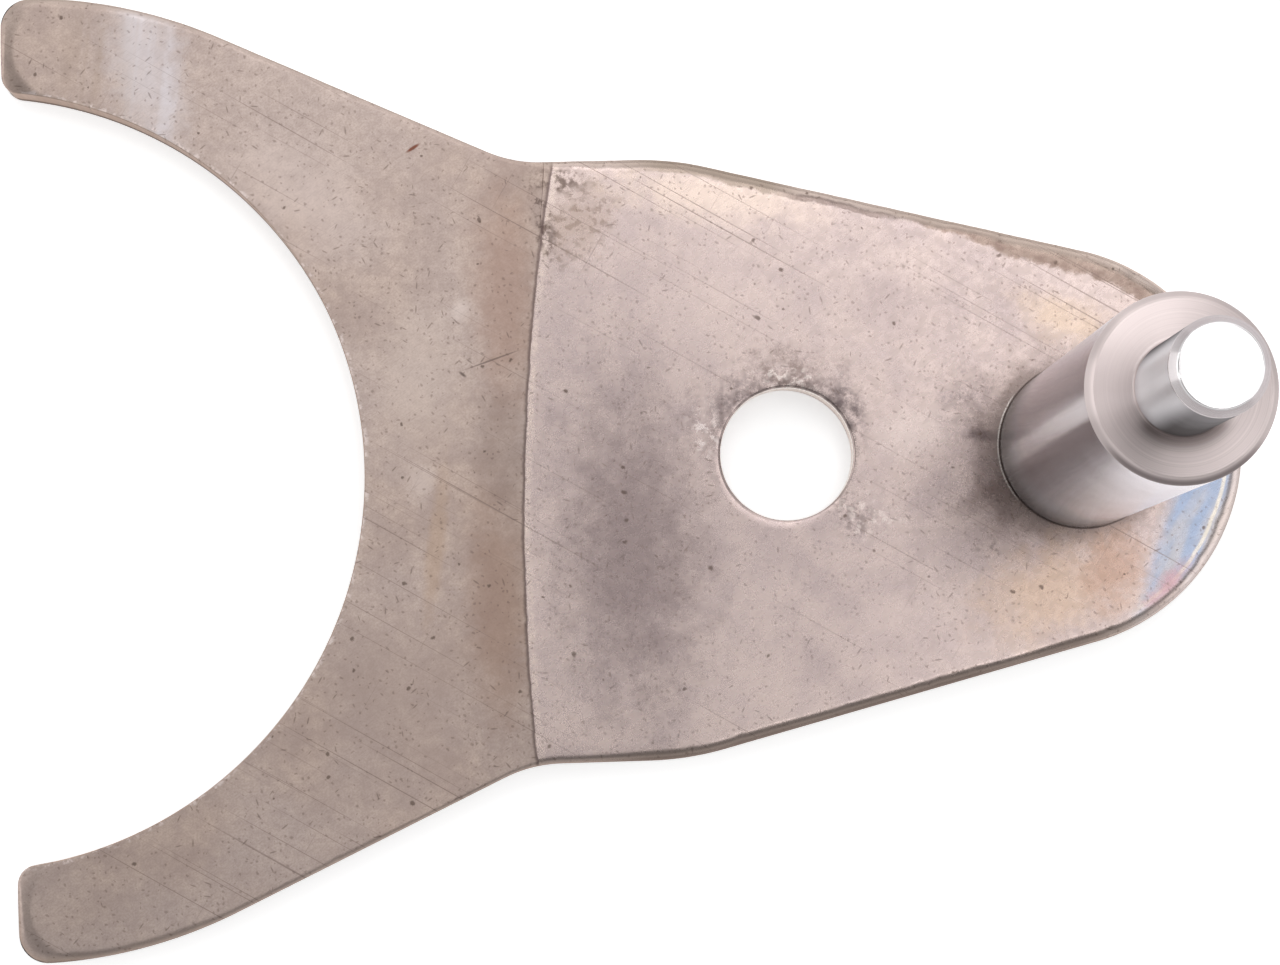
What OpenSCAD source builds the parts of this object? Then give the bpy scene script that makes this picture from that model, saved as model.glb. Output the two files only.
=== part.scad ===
// Transmission shift fork: a blanked steel fork plate with ground pads on its two tines,
// and a stepped guide pin that stands square on the plate.
// Origin: centre of the plate's hole, on the plate's back face. X runs to the pin, Z runs up the pin.

/* [Plate body] */
// Thickness of the blank
plate_thickness = 4.0; // [3:0.1:6]
// Width of the body across its two parallel flats
body_width = 43.7; // [40:0.1:48]
// Hole through the middle of the body
hole_d = 9.6; // [6:0.1:14]
// Edge break at the front of the hole
hole_break = 0.25; // [0.1:0.05:0.5]
// Angle of the tapered sides that run to the pin end
taper_angle = 14.25; // [11:0.25:18]
// Radius of the rounded pin end
end_radius = 14.7; // [12.5:0.1:16]
// The rounded end's centre lies this far behind the pin axis
end_offset = 3.0; // [0:0.1:5]

/* [Fork] */
// Hole centre to the axis of the fork mouth
fork_reach = 58.8; // [54:0.1:64]
// Diameter of the half-round fork mouth
mouth_d = 56.4; // [50:0.1:60]
// Radius of the outside of the tines
tine_outer_r = 35.0; // [33.5:0.1:37]
// The outside arc's centre lies this far in front of the mouth axis
tine_shift = 3.6; // [2:0.1:5]
// Angle of the straight part of each tine's outside
tine_angle = 24.9; // [22:0.1:28]
// The tine tips stop this far short of the mouth axis
tip_set_back = 2.55; // [1:0.05:4]
// Radius of the tip's outside corner
tip_outer_r = 2.1; // [1.2:0.1:2.6]
// Radius of the tip's inside corner
tip_inner_r = 1.4; // [0.6:0.1:2]
// Radius of the hollow between tine and body
neck_r = 9.7; // [6:0.1:14]

/* [Ground pads] */
// Depth ground off each face of the fork
pad_depth = 0.4; // [0.2:0.05:0.8]
// Height of the sharp lip at the pad's end
pad_lip = 0.12; // [0.05:0.01:0.2]
// Radius of the run-out that rises to the lip
runout_r = 80; // [40:1:140]
// Plan radius of the bowed pad end
pad_end_r = 162; // [100:1:240]
// Hole centre to the foremost point of the pad end
pad_end_x = 19.2; // [17:0.1:22]
// The pad end's foremost point lies this far to one side of the plate's axis
pad_end_y = 8.7; // [0:0.1:12]
// Plan radius of the flat left at each tine tip
tip_flat_r = 3.6; // [3:0.05:3.7]
// Section radius of the rounding round the tip flat
tip_crown_r = 5.0; // [3:0.1:10]

/* [Blanked edge] */
// Width of the rolled edge along the straight sides
roll_width = 0.9; // [0.5:0.05:1.3]
// Share of that width in the neck, where the outline is hollow
roll_neck = 0.7; // [0.5:0.05:1]
// Share of that width round the pin end
roll_end = 1.3; // [1:0.05:1.6]
// Share of that width at the tips' outside corners
roll_tip = 1.5; // [1:0.05:1.8]
// Depth of the rolled edge for its width
roll_slope = 0.62; // [0.4:0.02:0.9]
// Edge break along the back face
back_break = 0.2; // [0.1:0.05:0.4]

/* [Guide pin] */
// Hole centre to pin axis
pin_pitch = 21.5; // [19:0.1:25]
// Diameter of the ground pin
pin_d = 12.0; // [10:0.1:14]
// Plate to the pin's shoulder
pin_length = 45.0; // [30:0.5:60]
// Chamfer at the shoulder
pin_chamfer = 0.5; // [0.2:0.05:1]
// Edge break where the pin sits on the plate
seat_break = 0.2; // [0.1:0.05:0.4]
// Diameter of the spigot on the shoulder
spigot_d = 6.0; // [4:0.1:8]
// Length of the spigot
spigot_length = 13.6; // [8:0.1:20]
// Chamfer at the spigot's top
spigot_chamfer = 0.5; // [0.2:0.05:1]
// Diameter of the tail pressed through the plate
tail_d = 8.0; // [6:0.1:9]
// Flare of the tail at the back face, each side
tail_flare = 0.8; // [0.4:0.05:1.2]

/* [Hidden] */
// Finish of true curves, and an overrun for through cuts
$fn = 96;
over = 1;
// Plan of the plate, upper half
half_w = body_width / 2;
end_x = pin_pitch - end_offset;
mouth_x = -fork_reach;
mouth_r = mouth_d / 2;
outer_x = mouth_x + tine_shift;
tip_x = mouth_x + tip_set_back;
// Corner between taper and flat, blended by an arc about the plate's axis
blend_corner_x = (end_x * sin(taper_angle) + end_radius - half_w * cos(taper_angle)) / sin(taper_angle);
blend_x = blend_corner_x - half_w * tan(taper_angle / 2);
// Corner between flat and tine, filled by the neck arc
neck_corner_x = (outer_x * sin(tine_angle) + tine_outer_r - half_w * cos(tine_angle)) / sin(tine_angle);
neck_x = neck_corner_x + neck_r * tan(tine_angle / 2);
// Height of a circle of radius r at the distance dx from its centre
function circle_y(r, dx) = sqrt(pow(r, 2) - pow(dx, 2));
// Tip corner circles, tangent to the tip's end and to the tine's outside or inside
tip_oc = [tip_x + tip_outer_r, circle_y(tine_outer_r - tip_outer_r, tip_x + tip_outer_r - outer_x)];
tip_ic = [tip_x + tip_inner_r, circle_y(mouth_r + tip_inner_r, tip_set_back + tip_inner_r)];
tip_turn = atan2(tip_oc[1], tip_oc[0] - outer_x);
// Middle of the rounding at a tip, and the angle at which the rounding starts
crown_x = tip_x + tip_flat_r + roll_width;
crown_y = (circle_y(tine_outer_r, crown_x - outer_x) + circle_y(mouth_r, crown_x - mouth_x)) / 2;
crown_start = 8;
crown_c = [tip_flat_r - tip_crown_r * sin(crown_start), -tip_crown_r * cos(crown_start)];
// Pads: their floor, and the length of the run-out
pad_z = plate_thickness - pad_depth;
runout = sqrt(2 * runout_r * (pad_depth - pad_lip) - pow(pad_depth - pad_lip, 2));
pad_reach = 60;
// Pin levels
shoulder_z = plate_thickness + pin_length;
spigot_z = shoulder_z + spigot_length;

// Points of an arc, each with a rolled-edge share that runs from s0 to s1: [x, y, normal angle, share]
function arc_points(c, r, a0, a1, s0, s1, n, side = 1) =
    [for (i = [0:n]) let (a = a0 + (a1 - a0) * i / n, s = s0 + (s1 - s0) * i / n)
        [c[0] + r * cos(a), c[1] + r * sin(a), side > 0 ? a : a + 180, s]];

// Upper half of the outline from the tip to the pin end, lines lying between the arcs
half_outline = concat(
    arc_points(tip_oc, tip_outer_r, 180, tip_turn, 1, roll_tip, 4),
    arc_points([outer_x, 0], tine_outer_r, tip_turn - 2, 90 - tine_angle, roll_tip, 1, 8),
    arc_points([neck_x, half_w + neck_r], neck_r, 270 - tine_angle, 270, roll_neck, roll_neck, 6, -1),
    arc_points([blend_x, 0], half_w, 90, 90 - taper_angle, 1, 1, 4),
    arc_points([end_x, 0], end_radius, 90 - taper_angle, 0, 1, roll_end, 20));

count = len(half_outline);
loop_count = 2 * count - 1;

// The whole loop: the upper half, then its mirror image back to the tip
function loop_point(i) = i < count ? half_outline[i]
    : let (p = half_outline[2 * count - 2 - i]) [p[0], -p[1], -p[2], p[3]];

// Levels of the edge from back to front: [drop below the front in roll depths, inset in roll widths]
roll_steps = 5;
roll_levels = [for (k = [0:roll_steps]) let (a = 90 * k / roll_steps) [1 - sin(a), 1 - cos(a)]];

function ring_point(p, inset, z) = [p[0] - inset * cos(p[2]), p[1] - inset * sin(p[2]), z];

function back_ring(inset, z) = [for (i = [0:loop_count - 1]) ring_point(loop_point(i), inset, z)];

function roll_ring(level) =
    [for (i = [0:loop_count - 1]) let (p = loop_point(i), w = roll_width * p[3])
        ring_point(p, w * level[1], plate_thickness - w * roll_slope * level[0])];

rings = concat([back_ring(back_break, 0), back_ring(0, back_break)],
    [for (level = roll_levels) roll_ring(level)]);
ring_count = len(rings);

function at(k, i) = k * loop_count + i % loop_count;

edge_faces = [for (k = [0:ring_count - 2], i = [0:loop_count - 1], f = [0:1])
    f == 0 ? [at(k, i + 1), at(k + 1, i + 1), at(k + 1, i)] : [at(k, i + 1), at(k + 1, i), at(k, i)]];

// A flat face in strips, each between a piece of the outline and its mirror image
function strip(k, i, up) =
    let (a = at(k, i), b = at(k, i + 1), c = at(k, 2 * count - 3 - i), d = at(k, 2 * count - 2 - i))
        i == count - 2 ? (up ? [a, b, d] : [d, b, a]) : (up ? [a, b, c, d] : [d, c, b, a]);

flat_faces = [for (i = [0:count - 2], up = [false, true]) strip(up ? ring_count - 1 : 0, i, up)];

// The blank as it leaves the press: rolled edge in front, broken edge behind
module blank() {
    polyhedron(points = [for (ring = rings, p = ring) p], faces = concat(edge_faces, flat_faces));
}

// What the grinder takes off the fork's front: a flat, a hollow run-out and a sharp lip with a bowed end
module pad_cut() {
    translate([pad_end_r - pad_end_x, -pad_end_y, 0]) rotate_extrude() {
        translate([pad_end_r + runout, pad_z]) square([pad_reach, pad_depth + over]);
        intersection() {
            translate([pad_end_r + runout, pad_z + runout_r]) circle(runout_r);
            translate([pad_end_r, pad_z]) square([runout, pad_depth + over]);
        }
    }
}

// Rounds the front of one tine tip outside its flat
module tip_crown_cut() {
    translate([crown_x, crown_y, pad_z]) rotate_extrude(angle = 180, start = 90) difference() {
        translate([crown_c[0], -tip_crown_r / 2]) square([2 * tip_crown_r, tip_crown_r / 2 + over]);
        translate(crown_c) circle(tip_crown_r);
    }
}

// Rounds the inside corner of one tine tip
module tip_corner_cut() {
    to_mouth = [mouth_x - tip_ic[0], -tip_ic[1]] / (mouth_r + tip_inner_r);
    translate([0, 0, -over]) linear_extrude(plate_thickness + 2 * over) difference() {
        polygon([tip_ic, [tip_x - over, tip_ic[1]], [tip_x - over, tip_ic[1] - 3 * tip_inner_r],
            tip_ic + (tip_inner_r + over) * to_mouth]);
        translate(tip_ic) circle(tip_inner_r);
    }
}

module hole_cut() {
    translate([0, 0, -over]) cylinder(d = hole_d, h = plate_thickness + 2 * over);
    translate([0, 0, plate_thickness - hole_break])
        cylinder(d1 = hole_d, d2 = hole_d + 2 * hole_break, h = hole_break);
}

module tail_cut() {
    translate([pin_pitch, 0, -over]) cylinder(d = tail_d, h = plate_thickness + 2 * over);
    translate([pin_pitch, 0, 0]) cylinder(d1 = tail_d + 2 * tail_flare, d2 = tail_d, h = tail_flare);
}

// The blank with its two holes
module drilled_blank() {
    difference() {
        blank();
        hole_cut();
        tail_cut();
    }
}

// Both faces of the fork ground, front first
module ground_blank() {
    difference() {
        difference() {
            drilled_blank();
            pad_cut();
        }
        translate([0, 0, plate_thickness]) mirror([0, 0, 1]) pad_cut();
    }
}

// Tips rounded, then the mouth bored
module bored_blank() {
    difference() {
        difference() {
            ground_blank();
            tip_crown_cut();
            mirror([0, 1, 0]) tip_crown_cut();
        }
        translate([mouth_x, 0, -over]) cylinder(r = mouth_r, h = plate_thickness + 2 * over);
    }
}

module fork_plate() {
    color([0.68, 0.63, 0.60]) difference() {
        bored_blank();
        tip_corner_cut();
        mirror([0, 1, 0]) tip_corner_cut();
    }
}

// Pressed tail with its flare, ground body, shoulder and spigot turned in one piece
module guide_pin() {
    color([0.74, 0.72, 0.71]) translate([pin_pitch, 0, 0]) rotate_extrude() polygon([
        [0, 0],
        [tail_d / 2 + tail_flare, 0],
        [tail_d / 2, tail_flare],
        [tail_d / 2, plate_thickness],
        [pin_d / 2 - seat_break, plate_thickness],
        [pin_d / 2, plate_thickness + seat_break],
        [pin_d / 2, shoulder_z - pin_chamfer],
        [pin_d / 2 - pin_chamfer, shoulder_z],
        [spigot_d / 2, shoulder_z],
        [spigot_d / 2, spigot_z - spigot_chamfer],
        [spigot_d / 2 - spigot_chamfer, spigot_z],
        [0, spigot_z]]);
}

fork_plate();
guide_pin();
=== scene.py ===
# %% [markdown]
# # A gearbox shift fork in worn steel
# The fork lies on its back with its guide pin up. The plate was blanked from sheet, so its front
# edge is rolled over; the fork end was then ground thinner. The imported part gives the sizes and
# the place of everything, and this lesson dresses it with finer surfaces and a worn steel finish.

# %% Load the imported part
import math

import bmesh
import bpy
import numpy as np
from mathutils import Matrix, Vector


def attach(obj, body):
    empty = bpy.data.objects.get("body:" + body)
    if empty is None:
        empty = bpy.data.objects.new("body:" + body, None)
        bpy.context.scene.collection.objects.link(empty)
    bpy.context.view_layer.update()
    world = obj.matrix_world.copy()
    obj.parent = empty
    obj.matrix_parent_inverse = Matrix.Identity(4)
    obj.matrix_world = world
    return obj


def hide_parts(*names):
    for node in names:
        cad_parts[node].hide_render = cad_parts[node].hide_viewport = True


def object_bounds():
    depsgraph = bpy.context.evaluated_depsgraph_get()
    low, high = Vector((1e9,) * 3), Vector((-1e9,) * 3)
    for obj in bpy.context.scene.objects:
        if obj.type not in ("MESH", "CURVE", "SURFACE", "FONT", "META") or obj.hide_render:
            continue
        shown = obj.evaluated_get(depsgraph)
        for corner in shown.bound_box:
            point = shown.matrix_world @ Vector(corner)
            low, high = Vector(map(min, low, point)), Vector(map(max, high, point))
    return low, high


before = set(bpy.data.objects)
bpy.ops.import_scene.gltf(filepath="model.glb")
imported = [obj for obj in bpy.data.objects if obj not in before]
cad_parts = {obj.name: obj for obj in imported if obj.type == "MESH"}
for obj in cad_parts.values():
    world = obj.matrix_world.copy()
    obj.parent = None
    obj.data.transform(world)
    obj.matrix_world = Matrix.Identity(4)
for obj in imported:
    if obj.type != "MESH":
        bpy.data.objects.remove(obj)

cad_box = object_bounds()
print("nodes:", sorted(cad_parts), "box:", [tuple(round(v, 4) for v in c) for c in cad_box])

# %% [markdown]
# ## Sizes
# The same driving sizes as the part's source, in millimetres. The mesh is made in millimetres and
# turned into metres at the very end, because small numbers such as 0.12 are easier to read.

# %% Sizes of the plate and the pin
MM = 0.001
THICK, HALF_W = 4.0, 21.85
HOLE_R, HOLE_BREAK, BREAKOUT = 4.8, 0.25, 0.18
TAPER, END_R, END_X = 14.25, 14.7, 18.5
MOUTH_X, MOUTH_R = -58.8, 28.2
OUTER_X, OUTER_R, TINE = -55.2, 35.0, 24.9
TIP_X, TIP_OUT_R, TIP_IN_R = -56.25, 2.1, 1.4
NECK_R, BACK_BREAK = 9.7, 0.2
PAD_DEPTH, LIP, RUNOUT_R = 0.4, 0.12, 80.0
PAD_END_R, PAD_END_X, PAD_END_Y = 162.0, -19.2, -8.7
TIP_FLAT_R, CROWN_R, CROWN_START = 3.6, 5.0, math.radians(8)
ROLL_W, ROLL_NECK, ROLL_END, ROLL_TIP, ROLL_SLOPE = 0.9, 0.7, 1.3, 1.5, 0.62
PIN_X, PIN_R, PIN_LENGTH, PIN_CHAMFER, SEAT_BREAK = 21.5, 6.0, 45.0, 0.5, 0.2
SPIGOT_R, SPIGOT_LENGTH, SPIGOT_CHAMFER = 3.0, 13.6, 0.5
TAIL_R, TAIL_FLARE = 4.0, 0.8
PAD_Z = THICK - PAD_DEPTH
RUNOUT = math.sqrt(2 * RUNOUT_R * (PAD_DEPTH - LIP) - (PAD_DEPTH - LIP) ** 2)
print("run-out is", round(RUNOUT, 2), "mm long")

# %% [markdown]
# ## The outline
# The plate's edge is a chain of arcs joined by straight lines. Each point carries its outward
# normal and a share that says how wide the rolled edge is there: narrow in the hollow neck, wide
# round the pin end and the tips. One half is enough, because the other is its mirror image.

# %% Outline of one half
def arc_run(centre, radius, a0, a1, share0, share1, hollow=False, n=160):
    """Centre plus radius times (cos a, sin a) for angles a0 to a1 in degrees.
    The outward normal is that same direction, turned round on a hollow arc.
    Columns: x, y, normal x, normal y, share."""
    a = np.radians(np.linspace(a0, a1, n))
    d = np.stack([np.cos(a), np.sin(a)], 1)
    share = np.linspace(share0, share1, n)[:, None]
    return np.hstack([np.array(centre) + radius * d, -d if hollow else d, share])


def along(path):
    """Distance along a path: the running sum of its steps."""
    return np.concatenate([[0.0], np.cumsum(np.hypot(*np.diff(path[:, :2], axis=0).T))])


def corner_x(arc_x, arc_r, slope):
    """Where a line at this slope, touching a circle about (arc_x, 0), meets the body's straight side."""
    a = math.radians(slope)
    return (arc_x * math.sin(a) + arc_r - HALF_W * math.cos(a)) / math.sin(a)


MOUTH_SHARE, TIP_SHARE = 0.12, 0.5
blend_x = corner_x(END_X, END_R, TAPER) - HALF_W * math.tan(math.radians(TAPER / 2))
neck_x = corner_x(OUTER_X, OUTER_R, TINE) + NECK_R * math.tan(math.radians(TINE / 2))
tip_out_x, tip_in_x = TIP_X + TIP_OUT_R, TIP_X + TIP_IN_R
tip_out = (tip_out_x, math.sqrt((OUTER_R - TIP_OUT_R) ** 2 - (tip_out_x - OUTER_X) ** 2))
tip_in = (tip_in_x, math.sqrt((MOUTH_R + TIP_IN_R) ** 2 - (tip_in_x - MOUTH_X) ** 2))
tip_turn = math.degrees(math.atan2(tip_out[1], tip_out[0] - OUTER_X))
mouth_turn = math.degrees(math.atan2(tip_in[1], tip_in[0] - MOUTH_X))
outer_path = np.vstack([
    arc_run((END_X, 0), END_R, 0, 90 - TAPER, ROLL_END, 1),
    arc_run((blend_x, 0), HALF_W, 90 - TAPER, 90, 1, 1),
    arc_run((neck_x, HALF_W + NECK_R), NECK_R, 270, 270 - TINE, ROLL_NECK, ROLL_NECK, hollow=True),
    arc_run((OUTER_X, 0), OUTER_R, 90 - TINE, tip_turn, 1, ROLL_TIP),
    arc_run(tip_out, TIP_OUT_R, tip_turn, 180, ROLL_TIP, 1)])
inner_path = np.vstack([
    arc_run(tip_in, TIP_IN_R, 180, 180 + mouth_turn, TIP_SHARE, MOUTH_SHARE),
    arc_run((MOUTH_X, 0), MOUTH_R, mouth_turn, 0, MOUTH_SHARE, MOUTH_SHARE, hollow=True)])
print("half outline and half mouth:", [round(along(p)[-1], 1) for p in (outer_path, inner_path)], "mm")

# %% [markdown]
# ## Heights of the front face
# The grinder left a flat pad on the fork, a hollow run-out and a sharp little lip with a bowed end.
# Each tine tip is crowned: outside a round flat it falls away. All of it is one height for each x, y.

# %% Height of the ground fork
pad_centre_x = PAD_END_X + PAD_END_R
crown_x = TIP_X + TIP_FLAT_R + ROLL_W
crown_out_y = math.sqrt(OUTER_R ** 2 - (crown_x - OUTER_X) ** 2)
crown_in_y = math.sqrt(MOUTH_R ** 2 - (crown_x - MOUTH_X) ** 2)
crown_y = (crown_out_y + crown_in_y) / 2


def pad_floor(x, y, side):
    """Pad level, plus the rise of a circle of the run-out's radius over the last stretch before the lip."""
    past = np.clip(np.hypot(x - pad_centre_x, y - side * PAD_END_Y) - PAD_END_R, 0, RUNOUT)
    return PAD_Z + RUNOUT_R - np.sqrt(RUNOUT_R ** 2 - (RUNOUT - past) ** 2)


def tip_crown(x, y):
    """Level of the crowned tip: a circle's section turned about the tip's middle, in front of it only."""
    reach = np.hypot(np.minimum(x - crown_x, 0), y - crown_y)
    past = np.clip(reach - (TIP_FLAT_R - CROWN_R * math.sin(CROWN_START)), 0, CROWN_R)
    fall = np.sqrt(np.maximum(CROWN_R ** 2 - past ** 2, 0)) - CROWN_R * math.cos(CROWN_START)
    return np.where(x < crown_x, PAD_Z + fall, THICK)


def fork_front(x, y, side):
    """The lower of the pad's floor and the crowned tip."""
    return np.minimum(pad_floor(x, y, side), tip_crown(x, y))


lip_level = float(pad_floor(np.array(PAD_END_X), np.array(PAD_END_Y), 1))
print("pad level", PAD_Z, "lip level", round(lip_level, 3))

# %% [markdown]
# ## Patches
# A Coons patch fills four edge curves with a smooth grid. Two of them, the fork and the body, make
# one half of a face; the bowed lip lies between them. Their edges are the curves made here.

# %% Curves and patches
def resample(path, s):
    """Every column of a path at the distances s, with the normals made unit length again."""
    d = along(path)
    out = np.stack([np.interp(s, d, path[:, c]) for c in range(path.shape[1])], 1)
    out[:, 2:4] /= np.hypot(out[:, 2], out[:, 3])[:, None]
    return out


def spread(marks, counts, lean):
    """Even steps between each pair of marks; on the last stretch they crowd towards its end by the lean."""
    runs = [np.linspace(a, b, n, endpoint=False) for a, b, n in zip(marks[:-2], marks[1:-1], counts[:-1])]
    t = np.linspace(0, 1, counts[-1] + 1)
    return np.concatenate(runs + [marks[-2] + (marks[-1] - marks[-2]) * (1 - (1 - t) ** lean)])


def straight(a, b, n):
    """Even steps from point a to point b."""
    return np.linspace(a, b, n + 1)


def middle_line(x):
    """Points on the plate's middle line, where y is nought."""
    return np.stack([x, np.zeros(len(x))], 1)


def half_turn(cx, radius, n):
    """Half a circle about (cx, 0), from its far side over the top to its near side."""
    a = np.linspace(0, math.pi, n + 1)
    return np.stack([cx + radius * np.cos(a), radius * np.sin(a)], 1)


def bowed_lip(start, end, n, side):
    """The pad end's circle between two heights y, eased so that it passes through both end points."""
    y = np.linspace(start[1], end[1], n + 1)
    x = pad_centre_x - np.sqrt(PAD_END_R ** 2 - (y - side * PAD_END_Y) ** 2)
    t = (y - end[1]) / (start[1] - end[1])
    return np.stack([x + (start[0] - x[0]) * t ** 4 + (end[0] - x[-1]) * (1 - t) ** 4, y], 1)


def coons(top, bottom, left, right):
    """Ruled surface between top and bottom, plus the ruled surface between left and right,
    minus the bilinear surface through the four corners."""
    u = np.linspace(0, 1, len(top))[:, None, None]
    v = np.linspace(0, 1, len(left))[None, :, None]
    ends = ((1 - u) * (1 - v) * top[0] + u * (1 - v) * top[-1]
            + (1 - u) * v * bottom[0] + u * v * bottom[-1])
    return (1 - v) * top[:, None] + v * bottom[:, None] + (1 - u) * left[None] + u * right[None] - ends


def lift(xy, z, edge):
    """Adds to every point of a flat grid its height and its distance from the plate's edge."""
    return np.dstack([xy, np.broadcast_to(z, xy.shape[:2]), np.broadcast_to(edge, xy.shape[:2])])


print("a patch of 3 by 3 points:", coons(*np.zeros((4, 3, 2))).shape)

# %% [markdown]
# ## From grids to a closed piece
# Grids that share an edge are welded there, so that the piece is one closed skin. A cell whose
# corners fall together becomes a triangle. A fourth number at each point, the distance from the
# plate's edge, goes along as an attribute that the finish can read.

# %% Weld grids into a piece
def grid_quads(rows, cols):
    """Indices of the four corners of every cell of a grid."""
    i = np.arange(rows * cols).reshape(rows, cols)
    return np.stack([i[:-1, :-1], i[1:, :-1], i[1:, 1:], i[:-1, 1:]], -1).reshape(-1, 4)


def weld(grids, tol=2e-5):
    """Joins grids into one mesh: points that agree to the tolerance become one point."""
    starts = np.cumsum([0] + [g.shape[0] * g.shape[1] for g in grids[:-1]])
    quads = np.vstack([grid_quads(*g.shape[:2]) + start for g, start in zip(grids, starts)])
    points = np.vstack([g.reshape(-1, 4) for g in grids])
    keys = np.round(points[:, :3] / tol).astype(np.int64)
    points[:, :3] = np.clip(points[:, :3], np.array(cad_box[0]) / MM, np.array(cad_box[1]) / MM)
    _, first, index = np.unique(keys, axis=0, return_index=True, return_inverse=True)
    quads = index.reshape(-1)[quads]
    same = quads == np.roll(quads, -1, axis=1)
    pinched = same.sum(1) == 1
    triangles = quads[pinched][~same[pinched]].reshape(-1, 3)
    return points[first], quads[~same.any(1)].tolist() + triangles.tolist()


def make_piece(name, points_mm, faces, sharp_deg):
    """A mesh object at the origin from points in millimetres, with outward faces and sharp edges."""
    mesh = bpy.data.meshes.new(name)
    mesh.from_pydata((points_mm[:, :3] * MM).tolist(), [], faces)
    mesh.attributes.new("from_edge", "FLOAT", "POINT").data.foreach_set("value", points_mm[:, 3].copy())
    bm = bmesh.new()
    bm.from_mesh(mesh)
    bmesh.ops.recalc_face_normals(bm, faces=bm.faces[:])
    open_edges = sum(1 for e in bm.edges if not e.is_manifold)
    bm.to_mesh(mesh)
    bm.free()
    mesh.shade_smooth()
    mesh.set_sharp_from_angle(angle=math.radians(sharp_deg))
    piece = bpy.data.objects.new(name, mesh)
    bpy.context.scene.collection.objects.link(piece)
    print(name, len(mesh.vertices), "points,", len(mesh.polygons), "faces,", open_edges, "open edges")
    return piece


print("two rows of three points make", len(grid_quads(2, 3)), "cells")

# %% [markdown]
# ## The rim
# The rim's profile runs from the back face up the wall and over the roll to the front. Blanking
# leaves the roll a little uneven and a few nicks on the edge, so both vary along the path. On the
# fork the grinder took the roll away, and only a narrow edge break is left.

# %% Rim profile and nicks
BACK_STEPS, WALL_STEPS, ROLL_STEPS = 3, 4, 14
BREAK_LIMIT, WALL_LEAN = 0.6, 0.03
WAVES, NICKS = 7, 40
rng = np.random.default_rng(7)


def uneven(s, size):
    """A few slow waves along the edge, each with a random length and phase."""
    lengths = rng.uniform(2.5, 14, WAVES)
    phases = rng.uniform(0, 2 * math.pi, WAVES)
    return size * np.sin(2 * math.pi * s[:, None] / lengths + phases).mean(1)


def nicks(s):
    """Small dents along the edge: a sum of bell curves at random places."""
    at = rng.uniform(2, s.max() - 2, NICKS)
    wide = rng.uniform(0.18, 0.45, NICKS)
    deep = rng.uniform(0.01, 0.06, NICKS)
    return (deep * np.exp(-((s[:, None] - at) / wide) ** 2)).sum(1)


def rim_grid(path, on_fork, dent, side):
    """Profile carried along the outline. Back: a quarter circle of the edge break. Wall: straight up,
    with a slight lean. Front: a quarter ellipse, share times the roll's width in and that times its
    slope down. Off the fork, heights are held between the faces; on it, the edge break follows the pad.
    The last column is minus the distance down the profile from the roll's inner edge."""
    back = np.linspace(0, 0.5, BACK_STEPS + 1) * math.pi
    roll = np.linspace(0, 0.5, ROLL_STEPS + 1) * math.pi
    up = np.linspace(0, 1, WALL_STEPS + 2)[1:-1]
    width = ROLL_W * path[:, 4:5]
    back_break = np.minimum(BACK_BREAK, BREAK_LIMIT * width)
    z_back = back_break * (1 - np.cos(back))
    drop = width * ROLL_SLOPE * (1 - np.sin(roll)) + 0.5 * dent[:, None] * np.cos(roll)
    z_wall = z_back[:, -1:] + (THICK - drop[:, :1] - z_back[:, -1:]) * up
    inset_wall = np.zeros_like(z_wall) + WALL_LEAN * (1 - up)
    inset_roll = width * (1 - np.cos(roll)) + dent[:, None] * np.sin(roll) ** 0.5
    inset = np.hstack([back_break * (1 - np.sin(back)), inset_wall, inset_roll])
    xy = path[:, None, :2] - inset[:, :, None] * path[:, None, 2:4]
    front = np.where(on_fork[:, None], fork_front(xy[..., 0], xy[..., 1], side), THICK)
    behind = np.where(on_fork[:, None], THICK - pad_floor(xy[..., 0], xy[..., 1], side), 0.0)
    held = np.clip(np.hstack([z_back, z_wall, THICK - drop]), behind, front)
    ground = held.copy()
    ground[:, -ROLL_STEPS - 1:] = front[:, -ROLL_STEPS - 1:] - drop
    level = np.where(on_fork[:, None], np.minimum(ground, front), held)
    rim = np.dstack([xy, np.maximum(level, behind)])
    steps = np.linalg.norm(np.diff(rim, axis=1), axis=2)
    below = np.hstack([-np.cumsum(steps[:, ::-1], 1)[:, ::-1], np.zeros((len(rim), 1))])
    return np.dstack([rim, below])


print("rim has", BACK_STEPS + 1 + WALL_STEPS + ROLL_STEPS + 1, "points in its profile")

# %% [markdown]
# ## One half of the plate
# The grid lines have to meet the outline in step with the hole, the pin's seat, the lip and the
# mouth. So the outline is cut into runs, one for each, and every run has as many steps as the curve
# that lies across from it. The steps crowd towards the lip, where the face turns most sharply.

# %% Outline runs, with their steps
N_PIN, N_BRIDGE, N_HOLE, N_LAND = 96, 40, 72, 64
N_WEB, N_MOUTH, N_ACROSS = 64, 190, 28
# Where the outline's runs that face the pin's seat, the bridge, the hole and the web end
FACING_PIN_X, FACING_BRIDGE_X, FACING_HOLE_X, FACING_WEB_X = 14.5, 8.0, -8.5, -24.5
# The lip's two grids stop this short of it, and their steps crowd towards it
LIP_GAP, LIP_LEAN = 0.012, 1.6
LIP_SEARCH, LIP_SEARCH_STEPS = (-26, -12), 4000
outer_s = along(outer_path)


def outline_at(x):
    """Distance along the outer path where it reaches x."""
    return float(np.interp(-x, -outer_path[:, 0], outer_s))


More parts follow.
